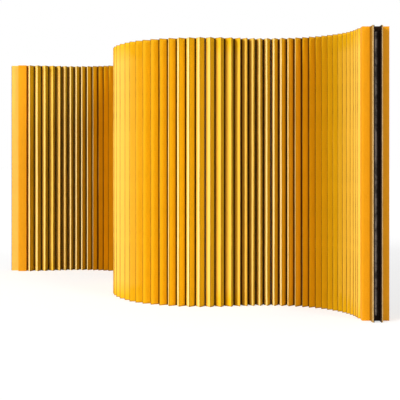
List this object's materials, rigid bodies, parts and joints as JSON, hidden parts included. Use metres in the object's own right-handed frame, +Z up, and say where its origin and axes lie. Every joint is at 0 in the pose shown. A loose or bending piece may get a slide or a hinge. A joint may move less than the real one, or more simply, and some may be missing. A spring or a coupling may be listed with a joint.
{
  "type": "pleated paper screen",
  "caption": "Tall free-standing room screen of honey-coloured kraft board, pleated on both faces and set in an S-shaped curve, with a stiff box and a dark grip channel at each end.",
  "frame": {"origin": "middle of the plan's bounding box, on the floor that the screen stands on", "axes": "+Z up; -Y towards the side that the picture shows; +X to that viewer's right, so the wall is walked from its left end at -X to its right end at +X"},
  "size_m": [2.6582, 2.818, 1.7],
  "materials": {
    "kraft_board": "matt saturated honey-coloured kraft",
    "kraft_box": "matt honey-coloured kraft over board",
    "faced_board": "raw tan edge, faced with honey-coloured paper on its outer side",
    "pine": "sawn",
    "dark_metal": "satin black-brown",
    "bright_metal": "satin"
  },
  "bodies": {
    "section_01": {"tube_pair_01": "kraft_board", "left_end_box": "kraft_box", "left_batten": "pine", "left_channel_back": "dark_metal", "left_near_channel_side": "dark_metal", "left_far_channel_side": "dark_metal", "left_near_cheek": "faced_board", "left_far_cheek": "faced_board", "left_clamp_bar": "bright_metal", "left_clamp_screws": "bright_metal"},
    "section_02_03": {"tube_pair_02": "kraft_board", "tube_pair_03": "kraft_board"},
    "section_04": {"tube_pair_04": "kraft_board"},
    "section_05": {"tube_pair_05": "kraft_board"},
    "section_06": {"tube_pair_06": "kraft_board"},
    "section_07": {"tube_pair_07": "kraft_board"},
    "section_08": {"tube_pair_08": "kraft_board"},
    "section_09": {"tube_pair_09": "kraft_board"},
    "section_10": {"tube_pair_10": "kraft_board"},
    "section_11": {"tube_pair_11": "kraft_board"},
    "section_12": {"tube_pair_12": "kraft_board"},
    "section_13": {"tube_pair_13": "kraft_board"},
    "section_14": {"tube_pair_14": "kraft_board"},
    "section_15": {"tube_pair_15": "kraft_board"},
    "section_16": {"tube_pair_16": "kraft_board"},
    "section_17": {"tube_pair_17": "kraft_board"},
    "section_18": {"tube_pair_18": "kraft_board"},
    "section_19": {"tube_pair_19": "kraft_board"},
    "section_20": {"tube_pair_20": "kraft_board"},
    "section_21": {"tube_pair_21": "kraft_board"},
    "section_22": {"tube_pair_22": "kraft_board"},
    "section_23": {"tube_pair_23": "kraft_board"},
    "section_24": {"tube_pair_24": "kraft_board"},
    "section_25": {"tube_pair_25": "kraft_board"},
    "section_26": {"tube_pair_26": "kraft_board"},
    "section_27": {"tube_pair_27": "kraft_board"},
    "section_28": {"tube_pair_28": "kraft_board"},
    "section_29": {"tube_pair_29": "kraft_board"},
    "section_30": {"tube_pair_30": "kraft_board"},
    "section_31": {"tube_pair_31": "kraft_board"},
    "section_32": {"tube_pair_32": "kraft_board"},
    "section_33": {"tube_pair_33": "kraft_board"},
    "section_34": {"tube_pair_34": "kraft_board"},
    "section_35": {"tube_pair_35": "kraft_board"},
    "section_36": {"tube_pair_36": "kraft_board"},
    "section_37": {"tube_pair_37": "kraft_board"},
    "section_38": {"tube_pair_38": "kraft_board", "right_end_box": "kraft_box", "right_batten": "pine", "right_channel_back": "dark_metal", "right_near_channel_side": "dark_metal", "right_far_channel_side": "dark_metal", "right_near_cheek": "faced_board", "right_far_cheek": "faced_board", "right_clamp_bar": "bright_metal", "right_clamp_screws": "bright_metal"}
  },
  "joints": [
    {"name": "back_run_waist_13", "type": "hinge", "parent": "section_14", "child": "section_13", "pos_m": [-0.10488, 0.6381, 0.85], "axis": [0, 0, -1], "range_deg": [-4, 9.8]},
    {"name": "front_bend_waist_21", "type": "hinge", "parent": "section_21", "child": "section_22", "pos_m": [-0.18815, -0.49844, 0.85], "axis": [0, 0, -1], "range_deg": [-4, 12.3]},
    {"name": "left_bay_waist_06", "type": "hinge", "parent": "section_07", "child": "section_06", "pos_m": [-0.54928, 1.29545, 0.85], "axis": [0, 0, -1], "range_deg": [-4, 9.83]},
    {"name": "right_bay_waist_30", "type": "hinge", "parent": "section_30", "child": "section_31", "pos_m": [0.73984, -0.67182, 0.85], "axis": [0, 0, 1], "range_deg": [-4, 10.06]},
    {"name": "waist_01", "type": "hinge", "parent": "section_02_03", "child": "section_01", "pos_m": [-1.08356, 1.24089, 0.85], "axis": [0, 0, 1], "range_deg": [-4.08, 10.01]},
    {"name": "waist_03", "type": "hinge", "parent": "section_04", "child": "section_02_03", "pos_m": [-0.87537, 1.3216, 0.85], "axis": [0, 0, -1], "range_deg": [-4.01, 9.84]},
    {"name": "waist_04", "type": "hinge", "parent": "section_05", "child": "section_04", "pos_m": [-0.76571, 1.33167, 0.85], "axis": [0, 0, -1], "range_deg": [-4.01, 9.84]},
    {"name": "waist_05", "type": "hinge", "parent": "section_06", "child": "section_05", "pos_m": [-0.65594, 1.32287, 0.85], "axis": [0, 0, -1], "range_deg": [-4.01, 9.84]},
    {"name": "waist_07", "type": "hinge", "parent": "section_08", "child": "section_07", "pos_m": [-0.44888, 1.25022, 0.85], "axis": [0, 0, -1], "range_deg": [-4.01, 9.84]},
    {"name": "waist_08", "type": "hinge", "parent": "section_09", "child": "section_08", "pos_m": [-0.35767, 1.18851, 0.85], "axis": [0, 0, -1], "range_deg": [-4.01, 9.84]},
    {"name": "waist_09", "type": "hinge", "parent": "section_10", "child": "section_09", "pos_m": [-0.27834, 1.11213, 0.85], "axis": [0, 0, -1], "range_deg": [-4.01, 9.84]},
    {"name": "waist_10", "type": "hinge", "parent": "section_11", "child": "section_10", "pos_m": [-0.21322, 1.02332, 0.85], "axis": [0, 0, -1], "range_deg": [-4.01, 9.84]},
    {"name": "waist_11", "type": "hinge", "parent": "section_12", "child": "section_11", "pos_m": [-0.16423, 0.92469, 0.85], "axis": [0, 0, -1], "range_deg": [-4.02, 9.83]},
    {"name": "waist_12", "type": "hinge", "parent": "section_13", "child": "section_12", "pos_m": [-0.12227, 0.78394, 0.85], "axis": [0, 0, -1], "range_deg": [-4.01, 9.81]},
    {"name": "waist_14", "type": "hinge", "parent": "section_15", "child": "section_14", "pos_m": [-0.11257, 0.49143, 0.85], "axis": [0, 0, -1], "range_deg": [-4.01, 9.81]},
    {"name": "waist_15", "type": "hinge", "parent": "section_16", "child": "section_15", "pos_m": [-0.14511, 0.3482, 0.85], "axis": [0, 0, -1], "range_deg": [-4.01, 9.81]},
    {"name": "waist_16", "type": "hinge", "parent": "section_17", "child": "section_16", "pos_m": [-0.22284, 0.22369, 0.85], "axis": [0, 0, 1], "range_deg": [-0.38, 1.16]},
    {"name": "waist_17", "type": "hinge", "parent": "section_18", "child": "section_17", "pos_m": [-0.27815, 0.08292, 0.85], "axis": [0, 0, 1], "range_deg": [-3.94, 12.11]},
    {"name": "waist_18", "type": "hinge", "parent": "section_19", "child": "section_18", "pos_m": [-0.30272, -0.06633, 0.85], "axis": [0, 0, 1], "range_deg": [-3.94, 12.11]},
    {"name": "waist_19", "type": "hinge", "parent": "section_20", "child": "section_19", "pos_m": [-0.29546, -0.21741, 0.85], "axis": [0, 0, 1], "range_deg": [-3.94, 12.11]},
    {"name": "waist_20", "type": "hinge", "parent": "section_21", "child": "section_20", "pos_m": [-0.2567, -0.36361, 0.85], "axis": [0, 0, 1], "range_deg": [-3.94, 12.11]},
    {"name": "waist_22", "type": "hinge", "parent": "section_22", "child": "section_23", "pos_m": [-0.11325, -0.59011, 0.85], "axis": [0, 0, -1], "range_deg": [-4.08, 12.51]},
    {"name": "waist_23", "type": "hinge", "parent": "section_23", "child": "section_24", "pos_m": [-0.02028, -0.6634, 0.85], "axis": [0, 0, -1], "range_deg": [-4.08, 12.51]},
    {"name": "waist_24", "type": "hinge", "parent": "section_24", "child": "section_25", "pos_m": [0.08635, -0.71483, 0.85], "axis": [0, 0, -1], "range_deg": [-4.08, 12.51]},
    {"name": "waist_25", "type": "hinge", "parent": "section_25", "child": "section_26", "pos_m": [0.20158, -0.74196, 0.85], "axis": [0, 0, -1], "range_deg": [-4.08, 12.51]},
    {"name": "waist_26", "type": "hinge", "parent": "section_26", "child": "section_27", "pos_m": [0.31995, -0.74351, 0.85], "axis": [0, 0, -1], "range_deg": [-4.08, 12.51]},
    {"name": "waist_27", "type": "hinge", "parent": "section_27", "child": "section_28", "pos_m": [0.43585, -0.71941, 0.85], "axis": [0, 0, -1], "range_deg": [-0.62, 1.89]},
    {"name": "waist_28", "type": "hinge", "parent": "section_28", "child": "section_29", "pos_m": [0.52925, -0.67214, 0.85], "axis": [0, 0, 1], "range_deg": [-3.49, 8.76]},
    {"name": "waist_29", "type": "hinge", "parent": "section_29", "child": "section_30", "pos_m": [0.63261, -0.66333, 0.85], "axis": [0, 0, 1], "range_deg": [-3.75, 9.41]},
    {"name": "waist_31", "type": "hinge", "parent": "section_31", "child": "section_32", "pos_m": [0.84394, -0.6989, 0.85], "axis": [0, 0, 1], "range_deg": [-4.01, 10.07]},
    {"name": "waist_32", "type": "hinge", "parent": "section_32", "child": "section_33", "pos_m": [0.94171, -0.74375, 0.85], "axis": [0, 0, 1], "range_deg": [-4.01, 10.07]},
    {"name": "waist_33", "type": "hinge", "parent": "section_33", "child": "section_34", "pos_m": [1.03016, -0.80498, 0.85], "axis": [0, 0, 1], "range_deg": [-4.01, 10.07]},
    {"name": "waist_34", "type": "hinge", "parent": "section_34", "child": "section_35", "pos_m": [1.10655, -0.88071, 0.85], "axis": [0, 0, 1], "range_deg": [-4.01, 10.07]},
    {"name": "waist_35", "type": "hinge", "parent": "section_35", "child": "section_36", "pos_m": [1.16855, -0.96861, 0.85], "axis": [0, 0, 1], "range_deg": [-4.01, 10.07]},
    {"name": "waist_36", "type": "hinge", "parent": "section_36", "child": "section_37", "pos_m": [1.21424, -1.06599, 0.85], "axis": [0, 0, 1], "range_deg": [-4.01, 10.07]},
    {"name": "waist_37", "type": "hinge", "parent": "section_37", "child": "section_38", "pos_m": [1.24223, -1.16985, 0.85], "axis": [0, 0, 1], "range_deg": [-4.01, 10.07]}
  ],
  "couplings": [
    {"joint": "waist_01", "follows": "left_bay_waist_06", "ratio": 1.017},
    {"joint": "waist_03", "follows": "left_bay_waist_06", "ratio": 1},
    {"joint": "waist_04", "follows": "left_bay_waist_06", "ratio": 1},
    {"joint": "waist_05", "follows": "left_bay_waist_06", "ratio": 1},
    {"joint": "waist_07", "follows": "left_bay_waist_06", "ratio": 1},
    {"joint": "waist_08", "follows": "left_bay_waist_06", "ratio": 1},
    {"joint": "waist_09", "follows": "left_bay_waist_06", "ratio": 1},
    {"joint": "waist_10", "follows": "left_bay_waist_06", "ratio": 1},
    {"joint": "waist_11", "follows": "back_run_waist_13", "ratio": 1.0017},
    {"joint": "waist_12", "follows": "back_run_waist_13", "ratio": 1},
    {"joint": "waist_14", "follows": "back_run_waist_13", "ratio": 1},
    {"joint": "waist_15", "follows": "back_run_waist_13", "ratio": 1},
    {"joint": "waist_16", "follows": "front_bend_waist_21", "ratio": 0.0935},
    {"joint": "waist_17", "follows": "front_bend_waist_21", "ratio": 0.98374},
    {"joint": "waist_18", "follows": "front_bend_waist_21", "ratio": 0.98374},
    {"joint": "waist_19", "follows": "front_bend_waist_21", "ratio": 0.98374},
    {"joint": "waist_20", "follows": "front_bend_waist_21", "ratio": 0.98374},
    {"joint": "waist_22", "follows": "front_bend_waist_21", "ratio": 1.0163},
    {"joint": "waist_23", "follows": "front_bend_waist_21", "ratio": 1.0163},
    {"joint": "waist_24", "follows": "front_bend_waist_21", "ratio": 1.0163},
    {"joint": "waist_25", "follows": "front_bend_waist_21", "ratio": 1.0163},
    {"joint": "waist_26", "follows": "front_bend_waist_21", "ratio": 1.0163},
    {"joint": "waist_27", "follows": "front_bend_waist_21", "ratio": 0.15244},
    {"joint": "waist_28", "follows": "right_bay_waist_30", "ratio": 0.87017},
    {"joint": "waist_29", "follows": "right_bay_waist_30", "ratio": 0.93508},
    {"joint": "waist_31", "follows": "right_bay_waist_30", "ratio": 1},
    {"joint": "waist_32", "follows": "right_bay_waist_30", "ratio": 1},
    {"joint": "waist_33", "follows": "right_bay_waist_30", "ratio": 1},
    {"joint": "waist_34", "follows": "right_bay_waist_30", "ratio": 1},
    {"joint": "waist_35", "follows": "right_bay_waist_30", "ratio": 1},
    {"joint": "waist_36", "follows": "right_bay_waist_30", "ratio": 1},
    {"joint": "waist_37", "follows": "right_bay_waist_30", "ratio": 1}
  ]
}
